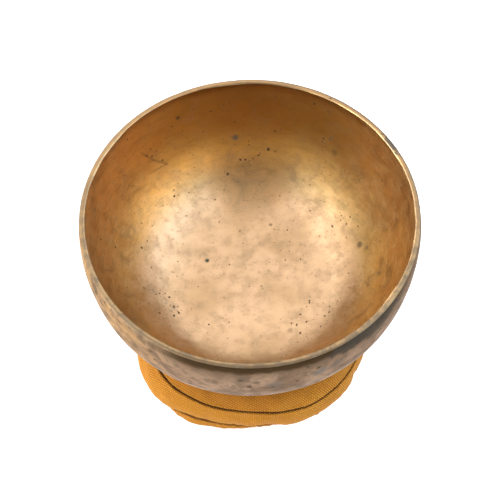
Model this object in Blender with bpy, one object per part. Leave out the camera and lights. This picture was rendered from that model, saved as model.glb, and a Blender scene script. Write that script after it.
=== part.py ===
"""Hand-beaten bronze singing bowl resting on a stuffed canvas ring cushion.

Run with: blender --background --python part.py

Metres, +Z up. The origin is on the bowl's axis, at the surface that the cushion stands on.
Every sub-part is a turned one: a closed outline of (radius, height) points spun about Z.
The cushion's canvas is three rings, top, side and base, sewn to each other along three
seams, round a ring of cotton wadding. The bowl only rests on it and lifts straight off.
"""

import math

import bmesh
import bpy

MM = 0.001

# Bowl: a straight lip over a slightly wider belly, a rounded wall and a small flat foot.
RIM_RADIUS = 90.0 * MM
BELLY_RADIUS = 91.1 * MM
BELLY_DEPTH = 9.3 * MM
BOWL_HEIGHT = 85.0 * MM
FULL_DEPTH = 90.2 * MM          # depth the wall's curve would reach without the flat foot
WALL_POWER = 2.3                # 2 is an ellipse, more is squarer
WALL_THICKNESS = 2.6 * MM
LIP_THICKNESS = 3.0 * MM
LIP_WEAR = 0.6 * MM             # worn edges of the lip
FOOT_BLEND = 1.2 * MM           # how softly the wall meets the foot outside
FLOOR_BLEND = 3.0 * MM          # and the floor inside

# Cushion: an oval ring, flat on the ground and pressed to the bowl's shape on top.
FOOT_LIFT = 37.4 * MM           # height of the bowl's foot above the ground
RING_RADIUS = 50.0 * MM         # middle of the ring's section
RING_HALF_WIDTH = 27.3 * MM
RING_HALF_HEIGHT = 23.0 * MM
RING_MIDDLE_HEIGHT = 21.0 * MM
CANVAS = 1.0 * MM
GAP = 0.3 * MM                  # between neighbouring pieces

# Seams, as angles round the section: 0 is outwards, 90 up, 180 towards the hole.
TOP_SEAM = 31.0
HOLE_SEAM = 180.0
BASE_SEAM = 320.0
SEAM_DEPTH = 3.0 * MM
SEAM_SPREAD = 6.0               # degrees over which the canvas turns into a seam
SEAM_SLIT = 0.45                # degrees between a seam's middle and each canvas edge
SECTION_STEP = 11.0             # degrees between section points away from the seams
THREAD_RADIUS = 0.3 * MM
THREAD_LIFT = 0.9 * MM          # thread's centre above the bottom of its seam
THREAD_SIDES = 6

SEGMENTS = 48
WALL_STEPS = 11

BRONZE = (0.52, 0.35, 0.18)
OCHRE_CANVAS = (0.60, 0.33, 0.05)
OCHRE_THREAD = (0.38, 0.19, 0.03)
WADDING_WHITE = (0.85, 0.82, 0.75)


def clear_scene():
    """Remove every object that the file opened with."""
    for thing in list(bpy.data.objects):
        bpy.data.objects.remove(thing, do_unlink=True)


def material(name, colour, roughness, metallic=0.0):
    """A plain Principled material."""
    made = bpy.data.materials.new(name)
    made.use_nodes = True
    made.diffuse_color = (*colour, 1.0)
    shader = made.node_tree.nodes["Principled BSDF"]
    shader.inputs["Base Color"].default_value = (*colour, 1.0)
    shader.inputs["Roughness"].default_value = roughness
    shader.inputs["Metallic"].default_value = metallic
    return made


def turned(name, outline, finish):
    """Spin a closed outline of (radius, height) points about Z into one closed solid."""
    mesh = bpy.data.meshes.new(name)
    shape = bmesh.new()
    points = [shape.verts.new((radius, 0.0, height)) for radius, height in outline]
    edges = []
    for index, point in enumerate(points):
        following = points[(index + 1) % len(points)]
        if point.co.x > 0.0 or following.co.x > 0.0:
            edges.append(shape.edges.new((point, following)))
    bmesh.ops.spin(shape, geom=points + edges, cent=(0, 0, 0), axis=(0, 0, 1),
                   angle=math.tau, steps=SEGMENTS, use_merge=True)
    bmesh.ops.remove_doubles(shape, verts=shape.verts, dist=0.001 * MM)
    bmesh.ops.recalc_face_normals(shape, faces=shape.faces)
    shape.to_mesh(mesh)
    shape.free()
    mesh.shade_smooth()
    mesh.set_sharp_from_angle(angle=math.radians(35.0))
    mesh.materials.append(finish)
    piece = bpy.data.objects.new(name, mesh)
    bpy.context.collection.objects.link(piece)
    return piece


def soft_minimum(first, second, blend):
    """The smaller of two depths, with the corner between them rounded off."""
    overlap = max(0.0, blend - abs(first - second))
    return min(first, second) - overlap * overlap / (4.0 * blend)


def wall_points(inset, floor_depth, blend):
    """Points (radius, depth below the lip) from the belly to the axis, `inset` inside the skin."""
    radius = BELLY_RADIUS - inset
    drop = FULL_DEPTH - BELLY_DEPTH - inset
    points = []
    for step in range(WALL_STEPS):
        angle = 0.5 * math.pi * step / WALL_STEPS
        depth = BELLY_DEPTH + drop * math.sin(angle) ** (2.0 / WALL_POWER)
        points.append((radius * math.cos(angle) ** (2.0 / WALL_POWER),
                       soft_minimum(depth, floor_depth, blend)))
    points.append((0.0, floor_depth))
    return points


def underside_height(radius):
    """Height above the ground of the bowl's outer skin, under its belly."""
    share = 1.0 - min(1.0, radius / BELLY_RADIUS) ** WALL_POWER
    depth = BELLY_DEPTH + (FULL_DEPTH - BELLY_DEPTH) * share ** (1.0 / WALL_POWER)
    return FOOT_LIFT + BOWL_HEIGHT - soft_minimum(depth, BOWL_HEIGHT, FOOT_BLEND)


def bowl_outline():
    """The bowl's half section: lip, outside down to the foot, and inside back up."""
    outside = wall_points(0.0, BOWL_HEIGHT, FOOT_BLEND)
    inside = wall_points(WALL_THICKNESS, BOWL_HEIGHT - WALL_THICKNESS, FLOOR_BLEND)
    lip = [(RIM_RADIUS - LIP_THICKNESS, LIP_WEAR),
           (RIM_RADIUS - LIP_THICKNESS + LIP_WEAR, 0.0),
           (RIM_RADIUS - LIP_WEAR, 0.0),
           (RIM_RADIUS, LIP_WEAR)]
    swell = BELLY_RADIUS - RIM_RADIUS
    neck = (BELLY_RADIUS - 0.25 * swell, 0.5 * BELLY_DEPTH)
    top = FOOT_LIFT + BOWL_HEIGHT
    return [(radius, top - depth) for radius, depth in lip + [neck] + outside + inside[::-1]]


def seam_dent(angle):
    """How far the canvas is drawn into the nearest seam at this angle round the section."""
    dent = 0.0
    for seam in (TOP_SEAM, HOLE_SEAM, BASE_SEAM):
        away = abs((angle - seam + 180.0) % 360.0 - 180.0)
        dent = max(dent, SEAM_DEPTH * (1.0 - away / SEAM_SPREAD))
    return dent


def ring_point(angle, inset):
    """Point of the cushion's section at this angle, `inset` inside the outer face of the canvas."""
    inside = inset + seam_dent(angle)
    turn = math.radians(angle)
    radius = RING_RADIUS + (RING_HALF_WIDTH - inside) * math.cos(turn)
    height = RING_MIDDLE_HEIGHT + (RING_HALF_HEIGHT - inside) * math.sin(turn)
    ceiling = underside_height(radius) - GAP - inset
    return (radius, min(ceiling, max(inset, height)))


def panel_angles(start, end):
    """Angles from one seam to the next, closer together where the canvas turns into a seam."""
    first = start + SEAM_SPREAD
    last = end - SEAM_SPREAD
    count = max(2, round((last - first) / SECTION_STEP))
    return [first + (last - first) * step / count for step in range(count + 1)]


def panel_outline(start, end):
    """Half section of the canvas between two seams."""
    angles = [start + SEAM_SLIT] + panel_angles(start, end) + [end - SEAM_SLIT]
    outer = [ring_point(angle, 0.0) for angle in angles]
    inner = [ring_point(angle, CANVAS) for angle in angles]
    return outer + inner[::-1]


def filling_outline():
    """Half section of the wadding, just inside the canvas all round."""
    seams = (TOP_SEAM, HOLE_SEAM, BASE_SEAM, TOP_SEAM + 360.0)
    angles = []
    for start, end in zip(seams, seams[1:]):
        angles += [start] + panel_angles(start, end)
    return [ring_point(angle, CANVAS + GAP) for angle in angles]


def thread_outline(seam):
    """Section of the sewing thread that lies in a seam."""
    radius, height = ring_point(seam, -THREAD_LIFT)
    outline = []
    for side in range(THREAD_SIDES):
        turn = math.tau * side / THREAD_SIDES
        outline.append((radius + THREAD_RADIUS * math.cos(turn),
                        height + THREAD_RADIUS * math.sin(turn)))
    return outline


def build():
    """Make all the sub-parts."""
    clear_scene()
    bronze = material("aged_bronze", BRONZE, 0.42, 0.9)
    canvas = material("ochre_canvas", OCHRE_CANVAS, 0.9)
    thread = material("ochre_thread", OCHRE_THREAD, 0.85)
    wadding = material("cotton_wadding", WADDING_WHITE, 0.95)

    turned("bowl", bowl_outline(), bronze)
    turned("top_panel", panel_outline(TOP_SEAM, HOLE_SEAM), canvas)
    turned("base_panel", panel_outline(HOLE_SEAM, BASE_SEAM), canvas)
    turned("side_panel", panel_outline(BASE_SEAM, TOP_SEAM + 360.0), canvas)
    turned("filling", filling_outline(), wadding)
    turned("top_seam_thread", thread_outline(TOP_SEAM), thread)
    turned("hole_seam_thread", thread_outline(HOLE_SEAM), thread)
    turned("base_seam_thread", thread_outline(BASE_SEAM), thread)


build()
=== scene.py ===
"""Looks for the singing bowl on its ring cushion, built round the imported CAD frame.

Metres, +Z up, in the CAD's frame: the origin is on the bowl's axis, where the cushion stands.
Azimuths are degrees round the axis, 0 at the viewer's side (-Y) and 90 at +X. Section angles
are degrees round the cushion's section: 0 is outwards, 90 up, 180 towards the hole.
"""

import math
from types import SimpleNamespace

import bmesh
import bpy
import numpy as np
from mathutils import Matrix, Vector, noise


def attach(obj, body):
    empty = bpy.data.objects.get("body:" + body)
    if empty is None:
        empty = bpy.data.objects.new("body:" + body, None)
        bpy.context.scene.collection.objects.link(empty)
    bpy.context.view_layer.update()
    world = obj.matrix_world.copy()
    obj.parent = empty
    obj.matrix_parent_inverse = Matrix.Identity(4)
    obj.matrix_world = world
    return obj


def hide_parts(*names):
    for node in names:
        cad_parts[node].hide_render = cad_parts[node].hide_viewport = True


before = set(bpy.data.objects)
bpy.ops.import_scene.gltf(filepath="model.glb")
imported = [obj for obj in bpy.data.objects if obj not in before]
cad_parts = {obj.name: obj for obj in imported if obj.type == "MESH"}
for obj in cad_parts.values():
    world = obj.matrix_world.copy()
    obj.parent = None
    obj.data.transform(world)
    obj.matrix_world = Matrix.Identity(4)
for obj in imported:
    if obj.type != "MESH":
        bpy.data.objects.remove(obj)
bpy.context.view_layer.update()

MM = 0.001

# Bowl, as in the CAD
RIM_RADIUS = 90.0 * MM
BELLY_RADIUS = 91.1 * MM
BELLY_DEPTH = 9.3 * MM
BOWL_HEIGHT = 85.0 * MM
FULL_DEPTH = 90.2 * MM
WALL_POWER = 2.3
WALL_THICKNESS = 2.6 * MM
LIP_THICKNESS = 3.0 * MM
FOOT_BLEND = 1.2 * MM
FOOT_LIFT = 37.4 * MM
LIP_TOP = FOOT_LIFT + BOWL_HEIGHT

# Bowl, finer than in the CAD
FLOOR_BLEND = 7.0 * MM
LIP_CORNER = 1.1 * MM
WALL_SAMPLES = 1500             # points worked out along the wall before they are spaced evenly
NECK_SAMPLES = 60
BOWL_TURNS = 320
WALL_RINGS = 108
LIP_RINGS = 7
LIP_FLATS = 5

# Cushion, as in the CAD
RING_RADIUS = 50.0 * MM
INNER_HALF_WIDTH = 27.3 * MM
RING_HALF_HEIGHT = 23.0 * MM
RING_MIDDLE_HEIGHT = 21.0 * MM
HOLE_SEAM = 180.0

# Cushion, finer than in the CAD
CANVAS = 0.9 * MM
GAP = 0.35 * MM
PER_DEGREE = 0.46 * MM          # length of canvas for each degree of the section
RING_TURNS = 480
SLIT = 0.7                      # degrees from a seam's middle to the canvas edge
SEAM_CROWD = 0.82               # how much closer together points are beside the seams
DENT_DEPTH = 3.6 * MM           # how deep the canvas rolls into a seam
DENT_WIDTH = 1.6 * MM
CREASE_WIDTH = 1.5 * MM         # painted shade in the crease of a seam, each side
GROUND_BLEND = 1.2 * MM         # how softly the canvas meets the ground
BOWL_BLEND = 1.6 * MM           # and the bowl
HEM_SOFT = 2.0                  # degrees over which the hem's handles are smoothed
WADDING_INSET = 2.0 * MM
WADDING_DENT_DEPTH = 5.5 * MM
WADDING_DENT_WIDTH = 7.0 * MM
WADDING_STEPS = 120

# Sewing threads
THREAD_RADIUS = 0.28 * MM
THREAD_DEPTH = 3.1 * MM
THREAD_DIP = 0.22 * MM
THREAD_ROOM = 1.2 * MM          # kept free above the ground and under the bowl
THREAD_SIDES = 8
THREAD_TURNS = 900

# Cloth simulation of the stuffed ring
SWELL = 1.4 * MM                # room that the stuffing fills out again
SWELL_REACH = 3.0 * MM
MOST_PUFF = 3.4 * MM            # most that the simulation may move the canvas
SIM_TURNS = 240
SIM_STEPS = 96
SIM_SCALE = 10.0                # the cloth solver is steadier on a larger model
SIM_FRAMES = 20
SIM_FINER = 4                   # how many times finer the result is made
SIM_SOFTEN = 6.0                # how strongly its finest ripples are taken out
PRESSED = 0.4 * MM              # canvas pressed in by more than this is held there
SEAM_GRIP = 1.2 * MM            # canvas this close to a seam is held by it
CLOTH_SETTINGS = {
    "quality": 5,
    "mass": 0.3,
    "tension_stiffness": 15.0,
    "compression_stiffness": 15.0,
    "shear_stiffness": 5.0,
    "bending_stiffness": 0.5,
    "vertex_group_mass": "pins",
    "use_pressure": True,
    "uniform_pressure_force": 4.0,
    "shrink_min": -0.05,        # below 0, so the cloth has that much more to give
}

# Handles round the ring, (azimuth, value), measured on the seen half and even on the far half.
# Reach from the axis in mm, seams in degrees round the section, and the lower hem's bulge in mm.
OUTER_REACH = (
    (-110, 77.0), (-75, 74.5), (-60, 75.3), (-50, 78.6), (-38, 81.2), (-25, 79.0),
    (-12, 77.2), (5, 77.4), (20, 78.4), (36, 78.9), (48, 77.2), (60, 74.4),
    (75, 75.0), (110, 77.5), (150, 76.5), (190, 78.0), (230, 76.8),
)
TOP_SEAM = (
    (-110, 34.0), (-72, 42.0), (-50, 43.5), (-40, 39.5), (-24, 32.4), (-12, 27.0),
    (-2, 28.5), (8, 25.2), (18, 21.6), (29, 20.2), (35, 22.8), (46, 21.8),
    (58, 22.0), (90, 31.0), (150, 30.0), (200, 33.0),
)
BASE_SEAM = (
    (-62, -38.0), (-44, -32.0), (-34, -22.0), (-23, -13.0), (-13, -18.0), (-4, -25.0),
    (12, -34.0), (31, -33.0), (50, -39.0), (120, -38.0), (200, -37.0),
)
HEM_BULGE = (
    (-62, 0.0), (-48, 1.4), (-36, 3.0), (-26, 3.2), (-14, 2.4), (-4, 2.2), (4, 2.2),
    (14, 1.4), (24, 0.3), (28, 0.5), (32, 7.0), (36, 0.5), (60, 0.0), (180, 0.0),
)

# Puckers beside a seam: amplitude, waves round the ring, reach and seed
FINE_PUCKERS = (0.14 * MM, 132, 4 * MM, 21)
COARSE_PUCKERS = (0.50 * MM, 86, 6 * MM, 23)
TUCKED_PUCKERS = (0.25 * MM, 44, 5 * MM, 25)

SHARP_ANGLE = 60.0              # edges sharper than this are shaded as corners


def around(handles, turn, soft=6.0):
    """A value that follows its handles round the ring, smoothed over `soft` degrees each way."""
    azimuths, values = np.array(handles, float).T
    steps = np.linspace(-soft, soft, 9)
    return np.mean([np.interp(turn + step, azimuths, values, period=360.0) for step in steps], axis=0)


def soft_minimum(first, second, blend):
    """The smaller of two values, with the corner between them rounded off."""
    overlap = np.maximum(0.0, blend - np.abs(first - second))
    return np.minimum(first, second) - overlap * overlap / (4.0 * blend)


def underside_height(radius):
    """Height above the ground of the bowl's outer skin, under its belly."""
    share = 1.0 - np.minimum(1.0, radius / BELLY_RADIUS) ** WALL_POWER
    depth = BELLY_DEPTH + (FULL_DEPTH - BELLY_DEPTH) * share ** (1.0 / WALL_POWER)
    return FOOT_LIFT + BOWL_HEIGHT - soft_minimum(depth, BOWL_HEIGHT, FOOT_BLEND)


def placed(turn, radius, height):
    """Points in the CAD's frame from azimuths in degrees, radii and heights."""
    angle = np.radians(turn)
    return np.stack([radius * np.sin(angle), -radius * np.cos(angle), height + 0.0 * angle], axis=-1)


def wobble(points, size, seed, octaves=2):
    """Smooth noise from about -1 to 1 at each point, with bumps about `size` across."""
    shift = Vector((seed * 7.1, seed * 3.7, seed * 5.3))
    flat = points.reshape(-1, 3) / size
    values = [noise.fractal(Vector(p) + shift, 0.6, 2.0, octaves) for p in flat]
    return np.array(values).reshape(points.shape[:-1])


def facets(points, size, seed):
    """Shallow dishes `size` across, 0 in their middles and about 1 on the ridges between them."""
    shift = Vector((seed * 2.3, seed * 8.9, seed * 4.1))
    flat = points.reshape(-1, 3) / size
    values = [noise.voronoi(Vector(p) + shift)[0][0] ** 2 for p in flat]
    return np.array(values).reshape(points.shape[:-1])


def closed_mesh(name, points, poles=False):
    """A mesh from points[turn][step], closed round the turns, and round the steps or by two poles."""
    turns, steps = points.shape[:2]
    vertices = points.reshape(-1, 3)
    faces = []
    first = 1 if poles else 0
    last = steps - 2 if poles else steps
    for turn in range(turns):
        here, there = turn * steps, (turn + 1) % turns * steps
        for step in range(first, last):
            after = (step + 1) % steps
            faces.append((here + step, there + step, there + after, here + after))
        if poles:
            faces.append((0, there + 1, here + 1))
            faces.append((steps - 1, here + steps - 2, there + steps - 2))
    mesh = bpy.data.meshes.new(name)
    mesh.from_pydata(vertices.tolist(), [], faces)
    piece = bpy.data.objects.new(name, mesh)
    bpy.context.scene.collection.objects.link(piece)
    return piece


def add_values(piece, name, values):
    """Keep one number, or one vector, for each point of the mesh."""
    kind = "FLOAT" if values.ndim == 2 else "FLOAT_VECTOR"
    layer = piece.data.attributes.new(name, kind, "POINT")
    layer.data.foreach_set("value" if kind == "FLOAT" else "vector", values.astype(np.float32).ravel())


def clean_mesh(mesh):
    """Drop loose points and turn the faces outwards."""
    shape = bmesh.new()
    shape.from_mesh(mesh)
    loose = [vertex for vertex in shape.verts if not vertex.link_faces]
    bmesh.ops.delete(shape, geom=loose, context="VERTS")
    bmesh.ops.recalc_face_normals(shape, faces=shape.faces)
    shape.to_mesh(mesh)
    shape.free()


def finish_mesh(piece, finish):
    """Clean the mesh, shade it smoothly and give the piece its material."""
    clean_mesh(piece.data)
    piece.data.shade_smooth()
    piece.data.set_sharp_from_angle(angle=math.radians(SHARP_ANGLE))
    piece.data.materials.append(finish)


def stand_for(piece, body, node):
    """The piece moves with a CAD body, and is shown in place of a CAD node."""
    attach(piece, body)
    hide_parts(node)


# ---------------------------------------------------------------- node materials


class Value:
    """A node's output, with arithmetic that adds more nodes."""

    def __init__(self, graph, socket):
        self.graph = graph
        self.socket = socket

    def __add__(self, other):
        return self.graph.math("ADD", self, other)

    def __sub__(self, other):
        return self.graph.math("SUBTRACT", self, other)

    def __rsub__(self, other):
        return self.graph.math("SUBTRACT", other, self)

    def __mul__(self, other):
        return self.graph.math("MULTIPLY", self, other)

    def __truediv__(self, other):
        return self.graph.math("DIVIDE", self, other)


class Graph:
    """A short way to write a node tree: each call adds a node and gives its output."""

    def __init__(self, owner):
        owner.use_nodes = True
        self.owner = owner
        self.tree = owner.node_tree

    def put(self, socket, value):
        """Link a value to a socket if it is another node's output, or set it."""
        if isinstance(value, Value):
            self.tree.links.new(value.socket, socket)
        elif socket.type == "RGBA" and len(value) == 3:
            socket.default_value = (*value, 1.0)
        else:
            socket.default_value = value

    def outputs(self, kind, *values, named=None, **settings):
        """All outputs of a new node, whose inputs come in order, or by name or number."""
        made = self.tree.nodes.new("ShaderNode" + kind)
        for key, value in settings.items():
            setattr(made, key, value)
        for key, value in [*enumerate(values), *(named or {}).items()]:
            self.put(made.inputs[key], value)
        return made.outputs

    def node(self, kind, *values, output=0, **settings):
        """One output of a new node."""
        return Value(self, self.outputs(kind, *values, **settings)[output])

    def math(self, operation, *values):
        return self.node("Math", *values, operation=operation)

    def most(self, *values):
        """The largest of the values."""
        largest = values[0]
        for value in values[1:]:
            largest = self.math("MAXIMUM", largest, value)
        return largest

    def vector(self, operation, *values):
        output = "Value" if operation in ("LENGTH", "DISTANCE", "DOT_PRODUCT") else "Vector"
        return self.node("VectorMath", *values, output=output, operation=operation)

    def scale(self, vector, factor):
        return self.node("VectorMath", vector, named={"Scale": factor}, operation="SCALE")

    def shaken(self, where, size, reach):
        """Points moved about by noise of `size`, up to about half of `reach` each way."""
        named = {"Vector": where, "Scale": 1.0 / size, "Detail": 2.0}
        offset = self.node("TexNoise", named=named, output="Color")
        offset = self.vector("SUBTRACT", offset, (0.5, 0.5, 0.5))
        return self.vector("ADD", self.scale(offset, reach), where)

    def attribute(self, name, output="Fac"):
        return self.node("Attribute", attribute_name=name, output=output)

    def place(self):
        return self.node("TexCoord", output="Object")

    def apart(self, vector):
        return [Value(self, socket) for socket in self.outputs("SeparateXYZ", vector)]

    def together(self, *values):
        return self.node("CombineXYZ", *values)

    def fade(self, value, start, end, low=0.0, high=1.0):
        """`low` before start, `high` after end, and smoothly between them."""
        return self.node("MapRange", value, start, end, low, high, interpolation_type="SMOOTHSTEP")

    def noise(self, where, size, detail=3.0, rough=0.55, distortion=0.0):
        """Noise from 0 to 1 with features about `size` across."""
        return self.node("TexNoise", named={"Vector": where, "Scale": 1.0 / size, "Detail": detail,
                                            "Roughness": rough, "Distortion": distortion})

    def specks(self, where, size, share, biggest):
        """1 in scattered round specks, `share` of the cells having one, up to `biggest` cells across."""
        cells = self.outputs("TexVoronoi", named={"Vector": where, "Scale": 1.0 / size})
        away, colour = Value(self, cells["Distance"]), Value(self, cells["Color"])
        reach = self.node("MapRange", self.apart(colour)[0], 1.0 - share, 1.0, 0.0, biggest)
        return self.fade(reach - away, -0.012, 0.03)

    def mix(self, share, first, second):
        """Number `first` turning into `second` as share goes from 0 to 1."""
        return self.node("Mix", share, named={2: first, 3: second}, data_type="FLOAT")

    def blend(self, share, first, second):
        """Colour `first` turning into `second` as share goes from 0 to 1."""
        return self.node("Mix", share, named={6: first, 7: second}, output=2, data_type="RGBA")

    def bump(self, height, depth):
        """A normal for a height of 0 to 1 that stands for `depth` metres."""
        return self.node("Bump", named={"Height": height, "Distance": depth, "Strength": 1.0})

    def shade(self, **values):
        """Set the Principled shader's inputs, named with _ for each space."""
        shader = self.tree.nodes["Principled BSDF"]
        for key, value in values.items():
            self.put(shader.inputs[key.replace("_", " ")], value)
        return self.owner


def bowl_point(azimuth, radius, depth):
    """Point of the bowl from an azimuth in degrees, and radius and depth below the lip in mm."""
    angle = math.radians(azimuth)
    return (radius * MM * math.sin(angle), -radius * MM * math.cos(angle), LIP_TOP - depth * MM)


# Bronze inside the bowl
BARE_BRIGHT = (0.77, 0.505, 0.295)
BARE_DULL = (0.635, 0.405, 0.218)
BARE_CLOUD = (0.55, 0.365, 0.215)
WALL_GOLD = (0.665, 0.470, 0.205)
WALL_FILM = (0.425, 0.305, 0.133)
# painted shade on the upper far wall, a painted dark reflection straight across from the viewer, and its
# warm brown lower end
FAR_WALL_SHADE = (0.300, 0.187, 0.052)
FAR_DARK_REFLECTION = (0.36, 0.20, 0.065)
LOW_REFLECTION_TINT = (0.64, 0.36, 0.150)
SMUDGE = (0.44, 0.285, 0.128)
# painted highlight: a bright gold band on the right wall
GOLD_HIGHLIGHT = (0.95, 0.64, 0.26)
SMEAR = (0.36, 0.245, 0.135)
HAIRLINE = (0.38, 0.245, 0.125)
PIT = (0.045, 0.028, 0.014)
DUST = (0.25, 0.16, 0.09)

# Tarnish outside it, with painted shade on the upper wall, a painted dark reflection under the lip and a
# painted reflection of the floor lower down
SKIN_LIGHT = (0.300, 0.200, 0.132)
SKIN_DARK = (0.175, 0.112, 0.072)
SKIN_WARM = (0.50, 0.300, 0.125)
SKIN_CLOUD = (0.100, 0.070, 0.047)
# painted shade on the upper outer wall
SKIN_UPPER_SHADE = (0.090, 0.055, 0.030)
# painted reflection of the bright floor, lighter lower down
SKIN_FLOOR_REFLECTION = (0.42, 0.315, 0.245)
SKIN_SMOKE = (0.110, 0.078, 0.054)
STAIN = (0.035, 0.025, 0.016)
# painted dark reflection in a band just under the lip
DARK_REFLECTION_BAND = (0.035, 0.020, 0.007)
PATCH = (0.036, 0.034, 0.028)
SKIN_GLOSS = (0.55, 0.44, 0.36)

# Lip
LIP_BRIGHT = (0.43, 0.285, 0.145)
LIP_DULL = (0.25, 0.178, 0.108)
# painted highlight: a warmer, brighter lip at the back
LIP_BACK_HIGHLIGHT = (0.50, 0.30, 0.14)
# painted shade on the lip's outer edge
LIP_OUTER_SHADE = (0.13, 0.085, 0.05)
# smoke on the lip, with painted shade making it stronger in front
LIP_SMOKE_AND_SHADE = (0.20, 0.155, 0.105)
LIP_SPECK = (0.07, 0.055, 0.04)
LIP_CHIP = (0.09, 0.085, 0.075)

# Marks
GREEN_SPOT = (0.075, 0.095, 0.07)
BROWN_SPOT = (0.10, 0.055, 0.025)
GREY_SPOT = (0.105, 0.105, 0.098)
DARK_SPOT = (0.03, 0.022, 0.012)
BIG_MARK = 2.5                  # half width in mm from which a mark is grainy

# Marks that stand out: azimuth, radius and depth in mm, half width in mm, colour, strength
INSIDE_MARKS = (
    (-127, 32, 82, 1.7, GREEN_SPOT, 1.0),
    (175, 40, 82, 1.5, BROWN_SPOT, 0.75),
    (164, 45, 80, 1.3, BROWN_SPOT, 0.7),
    (118, 37, 82, 1.7, BROWN_SPOT, 0.55),
    (40, 36, 82, 2.0, BROWN_SPOT, 0.45),
    (108, 67, 66, 2.4, BROWN_SPOT, 0.7),
    (104, 69, 63, 1.6, BROWN_SPOT, 0.55),
    (88, 73, 59, 1.7, BROWN_SPOT, 0.6),
    (-174, 82, 44, 2.2, GREY_SPOT, 0.8),
    (-152, 88, 20, 1.5, DARK_SPOT, 0.8),
    (147, 86, 32, 3.0, GREY_SPOT, 0.75),
    (144, 84, 40, 2.4, BROWN_SPOT, 0.6),
    (-78, 50, 77, 3.0, GREY_SPOT, 0.6),
    (-72, 47, 79, 3.4, GREY_SPOT, 0.6),
    (-84, 56, 74, 4.0, GREY_SPOT, 0.3),
    (137, 81, 47, 4.5, BROWN_SPOT, 0.3),
    (129, 83, 43, 4.5, BROWN_SPOT, 0.3),
    (-107, 66, 67, 0.9, DARK_SPOT, 0.9),
    (-112, 65, 68, 0.7, DARK_SPOT, 0.9),
    (-169, 70, 63, 1.0, DARK_SPOT, 0.95),
    (172, 79, 51, 1.1, DARK_SPOT, 0.95),
    (33, 36, 82, 0.8, DARK_SPOT, 0.9),
    (-102, 47, 79, 0.7, DARK_SPOT, 0.9),
)
OUTSIDE_MARKS = (
    (22, 91, 12, 1.5, DARK_SPOT, 0.9),
    (23, 91, 18, 4.5, GREY_SPOT, 0.75),
    (29, 91, 17, 4.0, GREY_SPOT, 0.35),
    (-3, 91, 13, 1.6, DARK_SPOT, 0.6),
    (2, 91, 16, 2.0, DARK_SPOT, 0.5),
    (8, 91, 20, 4.5, GREY_SPOT, 0.5),
    (-33, 91, 9, 2.0, DARK_SPOT, 0.6),
)
CHIP = (120, 88.0, 0.3)
CHIP_HALF_WIDTH = 9 * MM
PATCH_AZIMUTH = 42.0            # dark patch that hugs the lip
PATCH_DEPTH = 3 * MM
PATCH_HALF_LENGTH = 27 * MM
PATCH_HALF_DEPTH = 8.5 * MM
# Where pits crowd: azimuth, radius and depth in mm, and half width in mm
PITTED = (
    (-75, 48, 78, 15.0),
    (60, 40, 82, 20.0),
    (147, 85, 36, 12.0),
    (-178, 76, 54, 14.0),
    (125, 66, 66, 12.0),
    (-140, 84, 38, 12.0),
)
# Scratches: both ends as azimuth, radius and depth in mm, and half width in mm
SCRATCHES = (
    ((-134, 87, 30), (-138, 84, 40), 0.8),
    ((-138, 84, 40), (-143, 81, 47), 0.9),
    ((-143, 81, 47), (-134, 82, 46), 0.6),
    ((112, 77, 54), (108, 75, 58), 0.5),
)


def near_line(graph, where, start, end):
    """Distance in metres from the line between two points of the bowl."""
    first, last = Vector(bowl_point(*start)), Vector(bowl_point(*end))
    along = last - first
    offset = graph.vector("SUBTRACT", where, first)
    share = graph.node("Clamp", graph.vector("DOT_PRODUCT", offset, along) / along.length_squared)
    return graph.vector("DISTANCE", offset, graph.scale(along, share))


def bowl_fields(graph):
    """Where a point of the bowl is, and the noises that its colours share."""
    field = SimpleNamespace(where=graph.place())
    x, y, z = graph.apart(field.where)
    field.depth = LIP_TOP - z
    field.radius = graph.vector("LENGTH", graph.together(x, y, 0.0))
    field.facing = y * -1.0 / field.radius
    field.outward = graph.vector("NORMALIZE", graph.together(x, y, 0.0))
    field.right, back, _ = graph.apart(field.outward)
    along = graph.attribute("along")

    def brushed(turns, step):
        """Coordinates that stretch a noise round the bowl."""
        return graph.together(field.right * turns, back * turns, along / step)

    field.streaks = graph.noise(brushed(7.0, 3.2 * MM), 1.0, detail=4.0, rough=0.65, distortion=0.3)
    field.hairlines = graph.noise(brushed(22.0, 1.0 * MM), 1.0, detail=3.0, rough=0.6)
    field.patches = graph.noise(field.where, 30 * MM, detail=3.0, rough=0.5, distortion=0.2)
    field.mottle = graph.noise(field.where, 7 * MM, detail=4.0, rough=0.6)
    field.grain = graph.noise(field.where, 1.6 * MM, detail=4.0, rough=0.7)
    field.smoke = graph.noise(field.where, 13 * MM, detail=6.0, rough=0.68, distortion=0.8)
    field.edge = (field.grain - 0.5) * 1.3
    field.shaken = graph.shaken(field.where, 1.1 * MM, 1.2 * MM)
    return field


def near_mark(graph, field, azimuth, away, below, size):
    """Distance from a mark of the bowl in half widths of the mark, with a ragged edge."""
    reach = graph.vector("DISTANCE", field.where, bowl_point(azimuth, away, below))
    return reach / (size * MM) + field.edge


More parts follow.
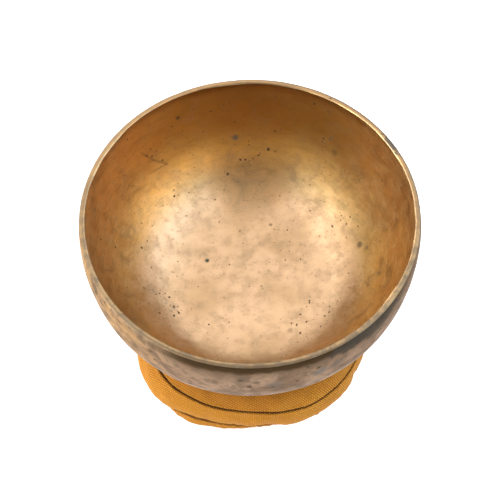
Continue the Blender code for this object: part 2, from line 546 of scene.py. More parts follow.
def films_and_painted_light(graph, field, bare):
    """The wall's gold and brown film, painted shade and a painted dark reflection on the far wall, a
    painted highlight on the right wall, and the smudged side.
    """
    fade = graph.fade
    wall = fade(field.radius, 58 * MM, 74 * MM)
    bare = graph.blend(wall * 0.7, bare, WALL_GOLD)
    bare = graph.blend(wall * fade(field.streaks, 0.44, 0.68) * 0.50, bare, WALL_FILM)
    # painted shade and a painted dark reflection on the far wall, which faces the viewer
    far = (fade(field.facing, -0.95, -0.45, 1.0, 0.0)
           * fade(field.depth, 22 * MM, 72 * MM, 0.86, 0.0))
    bare = graph.blend(far, bare, FAR_WALL_SHADE)
    middle = (fade(field.facing, -0.999, -0.93, 1.0, 0.0)
              * fade(field.depth, 44 * MM, 66 * MM, 0.55, 0.0))
    bare = graph.blend(middle, bare, FAR_DARK_REFLECTION)
    low = (fade(field.depth, 48 * MM, 66 * MM) * fade(field.depth, 70 * MM, 82 * MM, 0.7, 0.0)
           * fade(field.facing, -0.999, -0.90, 1.0, 0.0))
    bare = graph.blend(low, bare, LOW_REFLECTION_TINT)
    smudge = fade(field.right, -0.85, -0.55, 0.65, 0.0) * fade(field.facing, 0.05, 0.35)
    bare = graph.blend(smudge * wall, bare, SMUDGE)
    # painted highlight on the right wall
    painted_gold = (fade(field.right, 0.60, 0.85, 0.0, 0.85) * fade(field.facing, -0.40, -0.05)
              * fade(field.depth, 20 * MM, 38 * MM))
    return graph.blend(painted_gold * wall, bare, GOLD_HIGHLIGHT)


def scattered_pits(graph, field):
    """Small round pits: a few everywhere, and many where they crowd."""
    crowds = []
    for azimuth, away, below, size in PITTED:
        reach = graph.vector("DISTANCE", field.where, bowl_point(azimuth, away, below))
        crowds.append(graph.fade(reach, 0.25 * size * MM, size * MM, 1.0, 0.0))
    crowded = (graph.specks(field.shaken, 2.7 * MM, 0.9, 0.29)
               * graph.fade(graph.most(*crowds), 0.1, 0.7))
    large = graph.specks(field.shaken, 7.5 * MM, 0.75, 0.11)
    small = graph.specks(field.shaken, 3.0 * MM, 0.8, 0.17) * 0.8
    return graph.most(crowded, large, small)


def inside_colour(graph, field):
    """Bare brushed bronze: its colour, where its spots are and where its pits are."""
    fade = graph.fade
    bare = graph.blend(fade(field.patches, 0.36, 0.66), BARE_BRIGHT, BARE_DULL)
    bare = graph.blend(fade(field.mottle, 0.42, 0.74, 0.0, 0.62), bare, BARE_CLOUD)
    bare = films_and_painted_light(graph, field, bare)
    smears = fade(field.smoke, 0.48, 0.70) * fade(field.radius, 50 * MM, 70 * MM, 0.25, 0.6)
    bare = graph.blend(smears, bare, SMEAR)
    lines = fade(field.hairlines, 0.52, 0.72) * fade(field.radius, 20 * MM, 60 * MM)
    bare = graph.blend(lines * 0.35, bare, HAIRLINE)

    granular = fade(field.grain, 0.44, 0.60)
    spots = []
    for azimuth, away, below, size, colour, strength in INSIDE_MARKS:
        mark = fade(near_mark(graph, field, azimuth, away, below, size), 0.35, 1.25, strength, 0.0)
        if size > BIG_MARK:
            mark = mark * granular
        bare = graph.blend(mark, bare, colour)
        spots.append(mark)
    for start, end, width in SCRATCHES:
        reach = near_line(graph, field.where, start, end) / (width * MM) + field.edge
        mark = fade(reach, 0.0, 1.5, 0.42, 0.0)
        bare = graph.blend(mark, bare, BROWN_SPOT)
        spots.append(mark)

    pits = scattered_pits(graph, field)
    bare = graph.blend(pits * 0.9, bare, PIT)
    dust = fade(field.grain, 0.56, 0.70, 0.0, 0.55) * fade(field.mottle, 0.42, 0.56)
    return graph.blend(dust, bare, DUST), graph.most(*spots), pits


def lip_patch(graph, field):
    """The long dark patch that hugs the lip on the viewer's right."""
    side = math.radians(PATCH_AZIMUTH)
    sideways = graph.vector("DISTANCE", field.outward, (math.sin(side), -math.cos(side), 0.0))
    sideways = sideways * (RIM_RADIUS / PATCH_HALF_LENGTH)
    downways = (field.depth - PATCH_DEPTH) / PATCH_HALF_DEPTH
    patch = graph.vector("LENGTH", graph.together(sideways, downways, 0.0))
    patch = patch + (field.mottle - 0.5) * 1.8 + field.edge * 0.5
    return graph.fade(patch, 0.65, 1.05, 0.92, 0.0)


def outside_colour(graph, field):
    """Grey-brown tarnish with clouds and stains, with painted shade and a painted dark reflection just
    under the lip, and a painted reflection of the floor lower down.
    """
    fade = graph.fade
    skin = graph.blend(fade(field.patches, 0.38, 0.62), SKIN_LIGHT, SKIN_DARK)
    warm = fade(field.right, -0.78, -0.30, 0.75, 0.0) * fade(field.smoke, 0.35, 0.55, 1.0, 0.5)
    skin = graph.blend(warm, skin, SKIN_WARM)
    skin = graph.blend(fade(field.mottle, 0.46, 0.70, 0.0, 0.70), skin, SKIN_CLOUD)
    not_left = fade(field.right, -0.72, -0.28)
    # painted shade on the upper outer wall, left out on the lit left side
    skin = graph.blend(fade(field.depth, 4 * MM, 17 * MM, 0.50, 0.0) * not_left, skin, SKIN_UPPER_SHADE)
    # painted reflection of the floor, lighter towards the bottom
    skin = graph.blend(fade(field.depth, 26 * MM, 42 * MM, 0.0, 0.6), skin, SKIN_FLOOR_REFLECTION)
    skin = graph.blend(fade(field.smoke, 0.45, 0.62, 0.0, 0.68), skin, SKIN_SMOKE)
    skin = graph.blend(graph.specks(field.shaken, 6.0 * MM, 0.7, 0.24) * 0.85, skin, STAIN)
    # painted dark reflection in a ragged band under the lip, strongest facing the viewer
    ragged = field.depth + (field.mottle - 0.5) * (6 * MM)
    reflection_band = (fade(ragged, 3.4 * MM, 7.0 * MM, 1.0, 0.0) * fade(field.facing, 0.25, 0.85, 0.2, 0.97)
            * graph.most(not_left, 0.25))
    skin = graph.blend(reflection_band, skin, DARK_REFLECTION_BAND)
    for azimuth, away, below, size, colour, strength in OUTSIDE_MARKS:
        reach = near_mark(graph, field, azimuth, away, below, size)
        skin = graph.blend(fade(reach, 0.30, 1.30, strength, 0.0), skin, colour)
    return graph.blend(lip_patch(graph, field), skin, PATCH)


def lip_colour(graph, field):
    """Worn bronze with specks and a chip; a painted highlight makes the back warmer and brighter, smoke
    mixed with painted shade darkens the front, and painted shade darkens the outer edge.
    """
    fade = graph.fade
    worn = graph.blend(fade(field.mottle, 0.42, 0.62), LIP_BRIGHT, LIP_DULL)
    # painted highlight on the back of the lip
    worn = graph.blend(fade(field.facing, -0.6, 0.5, 0.65, 0.0), worn, LIP_BACK_HIGHLIGHT)
    # painted shade on the outer edge of the lip
    worn = graph.blend(fade(field.radius, 88.4 * MM, 89.6 * MM, 0.0, 0.8), worn, LIP_OUTER_SHADE)
    # smoke everywhere on the lip, strengthened towards the front as painted shade
    smoke_and_shade = fade(field.smoke, 0.47, 0.62, 0.0, 0.6) * fade(field.facing, -0.6, 0.5, 0.3, 1.0)
    worn = graph.blend(smoke_and_shade, worn, LIP_SMOKE_AND_SHADE)
    worn = graph.blend(graph.specks(field.where, 5.0 * MM, 0.4, 0.16) * 0.8, worn, LIP_SPECK)
    chip = graph.vector("DISTANCE", field.where, bowl_point(*CHIP))
    chip = chip / CHIP_HALF_WIDTH + field.edge * 2.2
    return graph.blend(fade(chip, 0.5, 1.0, 0.85, 0.0), worn, LIP_CHIP)


def bronze_material():
    """Bare brushed bronze inside with spots and pits, tarnish outside, and a worn lip between."""
    graph = Graph(bpy.data.materials.new("aged_bronze"))
    inside = graph.attribute("inside")
    field = bowl_fields(graph)
    bare, spots, pits = inside_colour(graph, field)
    colour = graph.blend(inside, outside_colour(graph, field), bare)
    colour = graph.blend(graph.attribute("lip"), colour, lip_colour(graph, field))

    cover = inside * graph.most(pits, spots)
    roughness = graph.mix(inside, graph.fade(field.mottle, 0.3, 0.7, 0.40, 0.55),
                          graph.fade(field.mottle, 0.3, 0.7, 0.29, 0.42))
    relief = field.hairlines * 0.25 + field.grain * 0.5 - pits * 1.2
    return graph.shade(Base_Color=colour, Metallic=graph.mix(inside, 0.72, 1.0) - cover * 0.5,
                       Roughness=graph.most(roughness, cover * 0.6),
                       Normal=graph.bump(relief, 0.06 * MM),
                       Specular_IOR_Level=graph.fade(inside, 0.0, 1.0, 0.15, 0.5),
                       Specular_Tint=graph.blend(inside, SKIN_GLOSS, (1.0, 1.0, 1.0)))


# Canvas weave: the warp lies 60 degrees from +X on the flat cloth
WARP_DIRECTION = 60.0
WARP_PITCH = 0.77 * MM
WEFT_PITCH = 1.21 * MM
WEFT_HEIGHT = 0.72              # beside a warp thread's
WEAVE_DEPTH = 0.22 * MM
OCHRE_DARKER = (0.545, 0.208, 0.0135)
OCHRE_LIGHTER = (0.645, 0.274, 0.0235)
OCHRE_PATCH = (0.51, 0.185, 0.0145)
BETWEEN_THREADS = (0.12, 0.044, 0.0045)
# painted shade of the bowl on the canvas
BOWL_SHADE_ON_CANVAS = (0.22, 0.072, 0.006)
# painted shade in the seams' creases
CREASE_SHADE = (0.06, 0.022, 0.004)
CANVAS_SHEEN = (1.0, 0.75, 0.35)

# Thread and wadding
THREAD_DARK = (0.15, 0.065, 0.010)
THREAD_LIGHT = (0.42, 0.22, 0.045)
THREAD_FUZZ = (0.5, 0.3, 0.08)
COTTON_SHADE = (0.66, 0.62, 0.53)
COTTON_LIGHT = (0.88, 0.86, 0.79)
COTTON_CLUMP = (0.76, 0.70, 0.58)


def woven(graph, cloth):
    """The height of the thread on top, from 0 to 1, and the number of the crossing that it is at."""
    turn = math.radians(WARP_DIRECTION)
    down_warp = graph.vector("DOT_PRODUCT", cloth, (math.cos(turn), math.sin(turn), 0.0))
    over_warp = graph.vector("DOT_PRODUCT", cloth, (-math.sin(turn), math.cos(turn), 0.0))
    column, row = over_warp / WARP_PITCH, down_warp / WEFT_PITCH
    column_number, row_number = graph.math("FLOOR", column), graph.math("FLOOR", row)
    across, down = graph.math("FRACT", column) - 0.5, graph.math("FRACT", row) - 0.5

    def crown(side, length):
        """Height of a thread's arch over its crossing: round across, arched along."""
        share = side * 2.0
        hollow = graph.most(1.0 - share * share, 0.0)
        return graph.math("SQRT", hollow) * graph.math("COSINE", length * 2.4)

    weft_on_top = graph.math("FLOORED_MODULO", column_number + row_number, 2.0)
    height = graph.mix(weft_on_top, crown(across, down), crown(down, across) * WEFT_HEIGHT)
    return height, graph.together(column_number, row_number, 0.0)


def canvas_material():
    """Coarse ochre canvas in plain weave, woven in the flat cloth's own plan."""
    graph = Graph(bpy.data.materials.new("ochre_canvas"))
    where = graph.place()
    height, crossing = woven(graph, graph.shaken(graph.attribute("cloth", "Vector"), 6 * MM, 0.8 * MM))
    thread_tone = graph.noise(crossing, 1.7, detail=1.0)
    patches = graph.noise(where, 22 * MM, detail=3.0)
    fuzz = graph.noise(where, 0.5 * MM, detail=2.0)
    bright = graph.blend(graph.fade(thread_tone, 0.3, 0.7), OCHRE_DARKER, OCHRE_LIGHTER)
    bright = graph.blend(graph.fade(patches, 0.35, 0.7, 0.0, 0.5), bright, OCHRE_PATCH)
    lit = graph.fade(height + (fuzz - 0.5) * 0.2, 0.15, 0.85)
    colour = graph.blend(lit, BETWEEN_THREADS, bright)

    # painted shade of the bowl on the canvas round where it rests, and painted shade in the creases,
    # deepest between the crowns of the threads
    x, y, z = graph.apart(where)
    radius = graph.vector("LENGTH", graph.together(x, y, 0.0))
    bowl_shade = graph.fade(radius, 66 * MM, 78 * MM, 0.55, 0.0) * graph.fade(z, 22 * MM, 32 * MM)
    colour = graph.blend(bowl_shade, colour, BOWL_SHADE_ON_CANVAS)
    # painted shade in the creases, weaker at the low base seam
    crease = graph.fade(graph.attribute("crease") - height * 0.40, 0.02, 0.50, 0.0, 0.88)
    colour = graph.blend(crease * graph.fade(z, 9 * MM, 17 * MM, 0.5, 1.0), colour, CREASE_SHADE)
    return graph.shade(Base_Color=colour, Roughness=0.88,
                       Normal=graph.bump(height + fuzz * 0.12, WEAVE_DEPTH),
                       Sheen_Weight=0.10, Sheen_Roughness=0.5, Sheen_Tint=CANVAS_SHEEN,
                       Specular_IOR_Level=0.15)


def thread_material():
    """Twisted sewing thread, a shade darker than the canvas."""
    graph = Graph(bpy.data.materials.new("ochre_thread"))
    twist = (graph.math("SINE", graph.attribute("ply")) + 1.0) * 0.5
    fuzz = graph.noise(graph.place(), 0.3 * MM)
    colour = graph.blend(graph.fade(twist, 0.1, 0.8), THREAD_DARK, THREAD_LIGHT)
    colour = graph.blend(graph.fade(fuzz, 0.4, 0.7, 0.0, 0.4), colour, THREAD_FUZZ)
    return graph.shade(Base_Color=colour, Roughness=0.8, Normal=graph.bump(twist, 0.08 * MM))


def wadding_material():
    """Matted cotton fibre."""
    graph = Graph(bpy.data.materials.new("cotton_wadding"))
    where = graph.place()
    fibres = graph.noise(where, 1.5 * MM, detail=6.0, rough=0.7, distortion=2.0)
    clumps = graph.noise(where, 12 * MM)
    colour = graph.blend(graph.fade(fibres, 0.3, 0.7), COTTON_SHADE, COTTON_LIGHT)
    colour = graph.blend(graph.fade(clumps, 0.4, 0.7, 0.0, 0.3), colour, COTTON_CLUMP)
    return graph.shade(Base_Color=colour, Roughness=0.95, Normal=graph.bump(fibres, 0.5 * MM),
                       Sheen_Weight=0.2)


# ---------------------------------------------------------------- bowl


def lengths_along(points):
    """Distance along a line of points, at each of them."""
    return np.concatenate([[0.0], np.cumsum(np.linalg.norm(np.diff(points, axis=0), axis=1))])


def evenly(points, count):
    """`count` points at even distances along a line of (radius, depth) points."""
    lengths = lengths_along(points)
    at = np.linspace(0.0, lengths[-1], count)
    return np.stack([np.interp(at, lengths, points[:, 0]),
                     np.interp(at, lengths, points[:, 1])], axis=-1)


def wall_line(inset, floor_depth, blend, rim_radius, rim_depth):
    """Radius and depth below the lip, from the axis up one skin of the bowl to just under the lip."""
    angle = np.linspace(0.5 * math.pi, 0.0, WALL_SAMPLES)
    radius = (BELLY_RADIUS - inset) * np.cos(angle) ** (2.0 / WALL_POWER)
    fall = (FULL_DEPTH - BELLY_DEPTH - inset) * np.sin(angle) ** (2.0 / WALL_POWER)
    depth = soft_minimum(BELLY_DEPTH + fall, floor_depth, blend)
    neck_depth = np.linspace(BELLY_DEPTH, rim_depth, NECK_SAMPLES)[1:]
    swell = BELLY_RADIUS - inset - rim_radius
    neck_radius = BELLY_RADIUS - inset - swell * ((BELLY_DEPTH - neck_depth) / BELLY_DEPTH) ** 2
    radius[0] = 0.0
    return np.stack([np.append(radius, neck_radius), np.append(depth, neck_depth)], axis=-1)


def lip_corner(radius, side):
    """Quarter circle from a skin to the flat of the lip; side is 1 outside and -1 inside."""
    angle = np.linspace(0.0, 0.5 * math.pi, LIP_RINGS)
    return np.stack([radius - side * LIP_CORNER * (1.0 - np.cos(angle)),
                     LIP_CORNER * (1.0 - np.sin(angle))], axis=-1)


def bowl_line():
    """The bowl's whole section from the axis outside to the axis inside, and two marks for it.

    Gives (radius, depth below the lip) points, 1 for those inside, and 1 for those on the lip.
    """
    inner_rim = RIM_RADIUS - LIP_THICKNESS
    outside = evenly(wall_line(0.0, BOWL_HEIGHT, FOOT_BLEND, RIM_RADIUS, LIP_CORNER), WALL_RINGS)
    inside = wall_line(WALL_THICKNESS, BOWL_HEIGHT - WALL_THICKNESS, FLOOR_BLEND, inner_rim, LIP_CORNER)
    inside = evenly(inside, WALL_RINGS)[::-1]
    flat = np.linspace(RIM_RADIUS - LIP_CORNER, inner_rim + LIP_CORNER, LIP_FLATS)[1:-1]
    lip = np.vstack([lip_corner(RIM_RADIUS, 1)[1:], np.stack([flat, 0.0 * flat], axis=-1),
                     lip_corner(inner_rim, -1)[::-1][:-1]])
    line = np.vstack([outside, lip, inside])
    is_inside = np.zeros(len(line))
    is_inside[len(outside) + len(lip) // 2:] = 1.0
    is_lip = np.zeros(len(line))
    is_lip[len(outside) + 1:len(outside) + len(lip) - 1] = 1.0
    return line, is_inside, is_lip


def hammered(points, inner):
    """How far each point of the bowl is pushed out by the hammer; inner is 1 inside, 0 outside."""
    dishes = 0.10 * MM * facets(points, 15 * MM, 1) * inner
    dents = 0.35 * MM * wobble(points, 26 * MM, 2) * inner
    ripples = 0.10 * MM * wobble(points, 9 * MM, 3) * inner
    beaten = -0.16 * MM * np.minimum(facets(points, 11 * MM, 4), 1.0) * (1.0 - inner)
    beaten = beaten - 0.12 * MM * (1.0 + wobble(points, 18 * MM, 5)) * (1.0 - inner)
    return dishes + dents + ripples + beaten


def make_bowl(finish):
    """The bowl as one closed skin, turned and then beaten slightly out of true."""
    line, is_inside, is_lip = bowl_line()
    lengths = lengths_along(line)
    turn = np.arange(BOWL_TURNS)[:, None] * 360.0 / BOWL_TURNS
    radius = line[None, :, 0] + 0.0 * turn
    height = LIP_TOP - line[None, :, 1] + 0.0 * turn
    points = placed(turn, radius, height)

    slope = np.gradient(line, axis=0)
    slope /= np.linalg.norm(slope, axis=1)[:, None]
    normal_out, normal_up = -slope[:, 1], -slope[:, 0]
    upper = np.clip((height - FOOT_LIFT - 30 * MM) / (50 * MM), 0.0, 1.0) ** 2
    free = np.clip((radius - 12 * MM) / (20 * MM), 0.0, 1.0)
    push = hammered(points, is_inside[None, :]) * free * (1.0 - is_lip[None, :])
    out_of_round = (0.35 * MM * np.cos(np.radians(2 * turn + 40))
                    + 0.18 * MM * np.cos(np.radians(3 * turn)))
    rim = placed(turn, RIM_RADIUS, LIP_TOP)
    rim_wave = 0.25 * MM * wobble(rim, 45 * MM, 6, 1)
    nicks = 0.12 * MM * wobble(rim, 7 * MM, 7, 3) * is_lip[None, :]
    points = placed(turn, radius + push * normal_out + out_of_round * upper,
                    height - push * normal_up + rim_wave * upper + nicks)
    points[:, 0] = points[:1, 0]
    points[:, -1] = points[:1, -1]

    bowl = closed_mesh("bronze_bowl", points, poles=True)
    for name, values in (("inside", is_inside), ("lip", is_lip), ("along", lengths[-1] - lengths)):
        add_values(bowl, name, values[None, :] + 0.0 * turn)
    finish_mesh(bowl, finish)
    stand_for(bowl, "bowl", "bowl")


# ---------------------------------------------------------------- cushion


def ring_section(turn, angle, inset):
    """(radius, height) of the stuffed ring at section angles in degrees, `inset` metres inside."""
    cosine, sine = np.cos(np.radians(angle)), np.sin(np.radians(angle))
    outer = around(OUTER_REACH, turn) * MM - RING_RADIUS
    half_width = np.where(cosine > 0.0, outer, INNER_HALF_WIDTH) - inset
    radius = RING_RADIUS + half_width * cosine
    height = RING_MIDDLE_HEIGHT + (RING_HALF_HEIGHT - inset) * sine
    return radius, height


def held(radius, height, skin):
    """The height kept between the ground and the bowl, with `skin` metres of canvas outside it."""
    ceiling = underside_height(radius) - GAP - skin
    height = soft_minimum(height, ceiling, BOWL_BLEND)
    return -soft_minimum(-height, -skin, GROUND_BLEND)


def roll_off(away, depth, width):
    """How far the canvas is drawn in at `away` metres from a seam: a quarter round."""
    share = 1.0 - np.clip(away, 0.0, width) / width
    return depth * (1.0 - np.sqrt(1.0 - share * share))


def gathered(turn, away, waves, seed, reach):
    """Puckers beside a seam, dying out over `reach` metres, from -1 to 1."""
    line = placed(turn, RING_RADIUS, 0.0 * turn)
    drift = wobble(line, 14 * MM, seed) * 2.4
    uneven = 0.6 + 0.6 * np.clip(wobble(line, 20 * MM, seed + 1), -1, 1)
    return np.sin(np.radians(turn * waves) + drift) * uneven * np.exp(-away / reach)


def base_seam(turn):
    """Section angle of the base seam at each azimuth, in degrees."""
    return around(BASE_SEAM, turn)


def top_seam(turn):
    """The same for the seam in the dark crease."""
    return around(TOP_SEAM, turn)


def hole_seam(turn):
    """The same for the seam round the hole."""
    return HOLE_SEAM + 0.0 * turn


def spaced(count):
    """Shares from 0 to 1, closer together at both ends."""
    share = np.linspace(0.0, 1.0, count)
    return (1.0 - SEAM_CROWD) * share + SEAM_CROWD * 0.5 * (1.0 - np.cos(math.pi * share))


def to_seam(turn, angle):
    """Length of canvas to the nearest seam at section angles in degrees."""
    seams = (base_seam(turn), top_seam(turn), hole_seam(turn))
    return np.min([np.abs((angle - seam + 180.0) % 360.0 - 180.0) for seam in seams],
                  axis=0) * PER_DEGREE


def room_left(away):
    """How far the slack canvas stays inside its full section, `away` metres from a seam."""
    return SWELL * (1.0 - np.exp(-away / SWELL_REACH))


def set_cloth(skin):
    """Give the skin a cloth simulation that blows it up from inside and leaves its pins in place."""
    cloth = skin.modifiers.new("cloth", "CLOTH")
    for name, value in CLOTH_SETTINGS.items():
        setattr(cloth.settings, name, value)
    cloth.settings.effector_weights.gravity = 0.0
    cloth.collision_settings.use_collision = False
    cloth.point_cache.frame_start = 1
    cloth.point_cache.frame_end = SIM_FRAMES


def simulated_puff():
    """How far the stuffing swells the slack ring, on an even grid of azimuths and section angles.

    The ring is held at its seams, on the ground and under the bowl, and blown up from inside as
    cloth.
    """
    turn = np.arange(SIM_TURNS)[:, None] * 360.0 / SIM_TURNS
    angle = np.arange(SIM_STEPS)[None, :] * 360.0 / SIM_STEPS + 0.0 * turn
    away = to_seam(turn, angle)
    room = room_left(away)
    radius, free = ring_section(turn, angle, room + roll_off(away, DENT_DEPTH, DENT_WIDTH))
    height = held(radius, free, 0.0)
    start = placed(turn, radius, height)
    skin = closed_mesh("swelling", start * SIM_SCALE)
    clean_mesh(skin.data)
    pins = skin.vertex_groups.new(name="pins")
    gripped = (np.abs(height - free) > PRESSED) | (away < SEAM_GRIP)
    pins.add(np.where(gripped.ravel())[0].tolist(), 1.0, "REPLACE")
    set_cloth(skin)
    for frame_number in range(1, SIM_FRAMES + 1):
        bpy.context.scene.frame_set(frame_number)
    swollen = skin.evaluated_get(bpy.context.evaluated_depsgraph_get()).to_mesh()
    flat = np.zeros(3 * len(swollen.vertices), np.float32)
    swollen.vertices.foreach_get("co", flat)
    moved = flat.reshape(start.shape) / SIM_SCALE - start
    bpy.data.objects.remove(skin)
    bpy.context.scene.frame_set(1)
    side = np.radians(angle)
    outward = placed(turn, np.cos(side), np.sin(side))
    return np.clip(np.sum(moved * outward, axis=-1), -MOST_PUFF, MOST_PUFF)


def finer(grid, times):
    """The same periodic surface on a grid `times` as fine, softened a little, through its waves."""
    waves = np.fft.fftshift(np.fft.fft2(grid))
    rows, columns = (np.linspace(-1.0, 1.0, count, endpoint=False) for count in grid.shape)
    waves = waves * np.exp(-SIM_SOFTEN * (rows[:, None] ** 2 + columns[None, :] ** 2))
    waves = np.pad(waves, [(count * (times - 1) // 2,) * 2 for count in grid.shape])
    return np.fft.ifft2(np.fft.ifftshift(waves)).real * times * times


def sampled(grid, turn, angle):
    """Values of an even periodic grid at azimuths and section angles in degrees."""
    turns, steps = grid.shape
    row = turn % 360.0 / 360.0 * turns + 0.0 * angle
    column = angle % 360.0 / 360.0 * steps
    low_row, low_column = np.floor(row).astype(int), np.floor(column).astype(int)
    row, column = row - low_row, column - low_column
    near, far = low_row % turns, (low_row + 1) % turns
    left, right = low_column % steps, (low_column + 1) % steps
    return ((1.0 - row) * ((1.0 - column) * grid[near, left] + column * grid[near, right])
            + row * ((1.0 - column) * grid[far, left] + column * grid[far, right]))


def slack(puffs, turn, angle, away):
    """How far the swollen canvas stays inside its full section; below 0 it stands proud."""
    return room_left(away) - sampled(puffs, turn, angle)


def panel_face(panel, turn, share, skin, puffs):
    """Points, section angles and distances to the nearer seam of one face of a canvas ring."""
    start, end = panel.start(turn), panel.end(turn)
    hem = around(HEM_BULGE, turn, HEM_SOFT) * MM
    first, last = start + SLIT, end - SLIT
    angle = first + (last - first) * share[None, :]
    from_start = (angle - start) * PER_DEGREE
    from_end = (end - angle) * PER_DEGREE
    away = np.minimum(from_start, from_end)
    inset = skin + roll_off(away, DENT_DEPTH, DENT_WIDTH)
    for distance, (amplitude, waves, reach, seed) in zip((from_start, from_end), panel.puckers):
        inset = inset + amplitude * gathered(turn, distance, waves, seed, reach)
    middle = placed(turn, *ring_section(turn, angle, 0.0))
    inset = inset - 0.25 * MM * wobble(middle, 24 * MM, 11) - 0.20 * MM * wobble(middle, 8 * MM, 12)
    inset = inset + slack(puffs, turn, angle, away)
    if panel.name == "canvas_side":
        inset = inset + 0.65 * hem * (1.0 - np.clip(from_start / (15 * MM), 0.0, 1.0)) ** 2
    radius, height = ring_section(turn, angle, inset)
    if panel.name == "canvas_base":
        folds = 1.0 + 0.16 * gathered(turn, 0.0 * from_end, 86, 23, 1.0)
        radius = radius + hem * folds * np.sin(math.pi * np.clip(from_end / (13 * MM), 0.0, 1.0)) ** 2
    return placed(turn, radius, held(radius, height, skin)), angle, away


def make_panel(panel, puffs, finish):
    """One ring of canvas from seam to seam as a closed shell."""
    turn = np.arange(RING_TURNS)[:, None] * 360.0 / RING_TURNS
    outer_count, inner_count = panel.counts
    outer, outer_angle, outer_away = panel_face(panel, turn, spaced(outer_count), 0.0, puffs)
    inner, inner_angle, inner_away = panel_face(panel, turn, spaced(inner_count)[::-1], CANVAS, puffs)
    piece = closed_mesh(panel.name, np.concatenate([outer, inner], axis=1))

    # the flat cloth: every point's distance from the panel's start, taken inwards from its own radius
    steps = np.cumsum(np.linalg.norm(np.diff(outer, axis=1), axis=2), axis=1)
    lengths = np.concatenate([np.zeros((RING_TURNS, 1)), steps], axis=1)
    lengths = np.mean(lengths, axis=0, keepdims=True) + 0.0 * lengths
    back = [np.interp(inner_angle[i], outer_angle[i], lengths[i]) for i in range(RING_TURNS)]
    crease_radius = ring_section(turn, top_seam(turn), 0.0)[0]
    plan = crease_radius + panel.plan_start - np.concatenate([lengths, np.stack(back)], axis=1)
    add_values(piece, "cloth", placed(turn, plan, 0.0 * plan))
    away = np.concatenate([outer_away, inner_away], axis=1)
    add_values(piece, "crease", np.clip(1.0 - away / CREASE_WIDTH, 0.0, 1.0))
    finish_mesh(piece, finish)
    stand_for(piece, "cushion", panel.node)


# Canvas rings: seams as functions of azimuth, puckers at the start and the end, points across the
# outer and the inner face, and how much wider than the crease the flat cloth is at the start
PANELS = (
    SimpleNamespace(name="canvas_top", node="top_panel", start=top_seam, end=hole_seam,
                    puckers=(FINE_PUCKERS, TUCKED_PUCKERS), counts=(84, 28), plan_start=0.0),
    SimpleNamespace(name="canvas_side", node="side_panel", start=base_seam, end=top_seam,
                    puckers=(COARSE_PUCKERS, FINE_PUCKERS), counts=(72, 24), plan_start=27 * MM),
    SimpleNamespace(name="canvas_base", node="base_panel",
                    start=lambda turn: hole_seam(turn) - 360.0, end=base_seam,
                    puckers=(TUCKED_PUCKERS, COARSE_PUCKERS), counts=(90, 30), plan_start=85 * MM),
)

# Threads: piece, CAD node, seam and stitches round it
THREADS = (
    ("thread_top", "top_seam_thread", top_seam, 150),
    ("thread_hole", "hole_seam_thread", hole_seam, 60),
    ("thread_base", "base_seam_thread", base_seam, 145),
)


def make_filling(puffs, finish):
    """The lumpy ring of wadding inside the canvas."""
    turn = np.arange(RING_TURNS // 2)[:, None] * 720.0 / RING_TURNS
    angle = np.linspace(0.0, 360.0, WADDING_STEPS, endpoint=False)[None, :] + 0.0 * turn
    away = to_seam(turn, angle)
    inset = WADDING_INSET + roll_off(away, WADDING_DENT_DEPTH, WADDING_DENT_WIDTH)
    inset = inset + slack(puffs, turn, angle, away)
    smooth = placed(turn, *ring_section(turn, angle, inset))
    lumps = 0.5 * MM * wobble(smooth, 9 * MM, 31)
    radius, height = ring_section(turn, angle, inset + np.abs(lumps))
    height = held(radius, height, WADDING_INSET)
    filling = closed_mesh("cotton_filling", placed(turn, radius, height))
    finish_mesh(filling, finish)
    stand_for(filling, "cushion", "filling")


def make_thread(name, node, seam, stitches, finish):
    """A running stitch in the bottom of a seam, dipping once between stitches."""
    turn = np.arange(THREAD_TURNS)[:, None] * 360.0 / THREAD_TURNS
    dip = THREAD_DIP * np.cos(np.radians(turn * stitches))
    radius, height = ring_section(turn, seam(turn), THREAD_DEPTH + dip)
    height = np.clip(height, THREAD_ROOM, underside_height(radius) - THREAD_ROOM)
    side = np.arange(THREAD_SIDES)[None, :] * math.tau / THREAD_SIDES
    points = placed(turn, radius + THREAD_RADIUS * np.cos(side), height + THREAD_RADIUS * np.sin(side))
    piece = closed_mesh(name, points)
    add_values(piece, "ply", np.radians(turn * stitches * 4.0) + side)
    finish_mesh(piece, finish)
    stand_for(piece, "cushion", node)


def make_cushion():
    """The three canvas rings, the wadding inside them and the three sewing threads."""
    puffs = finer(simulated_puff(), SIM_FINER)
    canvas = canvas_material()
    for panel in PANELS:
        make_panel(panel, puffs, canvas)
    make_filling(puffs, wadding_material())
    thread = thread_material()
    for name, node, seam, stitches in THREADS:
        make_thread(name, node, seam, stitches, thread)


# ---------------------------------------------------------------- studio


FLOOR_REACH = 6.0
FLOOR_SHADE = (0.93, 0.93, 0.93)
FLOOR_GLOW = 0.45
LAMP_WHITE = (1.0, 1.0, 1.0)
LAMP_COOL = (0.80, 1.0, 1.28)
KEY_SIDE = (-0.94, -0.31, 0.14)
BACK_SIDE = (-0.60, 0.78, 0.17)
ABOVE_VIEWER = (0.0, -0.62, 0.78)
CAMERA_PLACE = (0.0, -0.3448, 0.6497)
CAMERA_PITCH = 31.38
CAMERA_LENS = 86.3


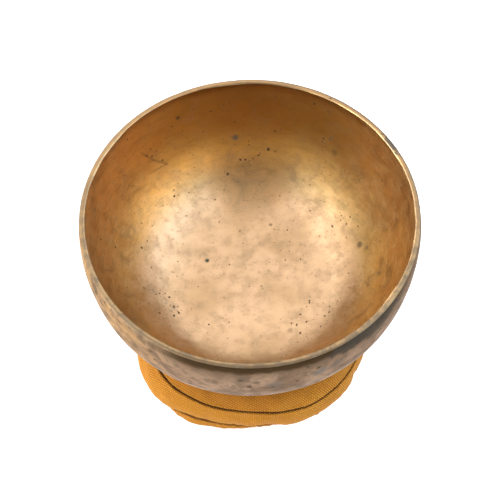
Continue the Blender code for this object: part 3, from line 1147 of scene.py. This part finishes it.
def make_floor():
    """A wide pale plain floor."""
    mesh = bpy.data.meshes.new("studio_floor")
    corners = [(x * FLOOR_REACH, y * FLOOR_REACH, 0.0) for x, y in ((-1, -1), (1, -1), (1, 1), (-1, 1))]
    mesh.from_pydata(corners, [], [(0, 1, 2, 3)])
    floor = bpy.data.objects.new("studio_floor", mesh)
    bpy.context.scene.collection.objects.link(floor)
    graph = Graph(bpy.data.materials.new("studio_floor"))
    mesh.materials.append(graph.shade(Base_Color=FLOOR_SHADE, Roughness=0.9, Specular_IOR_Level=0.1,
                                      Emission_Color=LAMP_WHITE, Emission_Strength=FLOOR_GLOW))


def make_world():
    """A white studio of soft lights, darker behind the viewer and low on the viewer's side."""
    graph = Graph(bpy.data.worlds.new("studio"))
    bpy.context.scene.world = graph.owner
    direction = graph.node("TexCoord", output="Generated")
    x, y, z = graph.apart(direction)
    squeezed = graph.vector("MULTIPLY", direction, (1.9, 1.0, 1.0))
    from_viewer = graph.vector("DISTANCE", squeezed, ABOVE_VIEWER)
    front = graph.most(graph.fade(y, -0.90, -0.40, 0.12, 1.0), graph.fade(z, 0.50, 0.76, 0.0, 1.0))
    room = graph.fade(from_viewer, 0.22, 0.78, 0.64, 1.39) * front
    left = graph.fade(x, -0.80, -0.38, 0.87, 0.0)
    right = graph.fade(x, 0.22, 0.80, 0.0, 0.67)

    # lights that stand on the floor and reach only a little way up
    low = graph.fade(x, -0.8, -0.1, 2.0, 0.05) + graph.fade(x, 0.2, 0.8, 0.0, 1.45)
    for side, start, end, power in ((KEY_SIDE, 0.74, 0.96, 6.2), (BACK_SIDE, 0.70, 0.97, 1.3)):
        low = low + graph.fade(graph.vector("DOT_PRODUCT", direction, side), start, end, 0.0, power)
    low = graph.fade(z, 0.15, 0.50, 1.0, 0.0) * low
    back = graph.tree.nodes["Background"]
    graph.put(back.inputs["Color"], graph.blend(right, LAMP_WHITE, LAMP_COOL))
    graph.put(back.inputs["Strength"], room + low + left + right)


def make_camera():
    """The photograph's view, from above and in front."""
    data = bpy.data.cameras.new("camera")
    data.lens = CAMERA_LENS
    data.sensor_width = 36.0
    data.clip_start = 0.01
    camera = bpy.data.objects.new("camera", data)
    camera.location = CAMERA_PLACE
    camera.rotation_euler = (math.radians(CAMERA_PITCH), 0.0, 0.0)
    bpy.context.scene.collection.objects.link(camera)
    bpy.context.scene.camera = camera


make_camera()
make_world()
make_floor()
make_bowl(bronze_material())
make_cushion()
bpy.context.scene.view_settings.view_transform = "Standard"
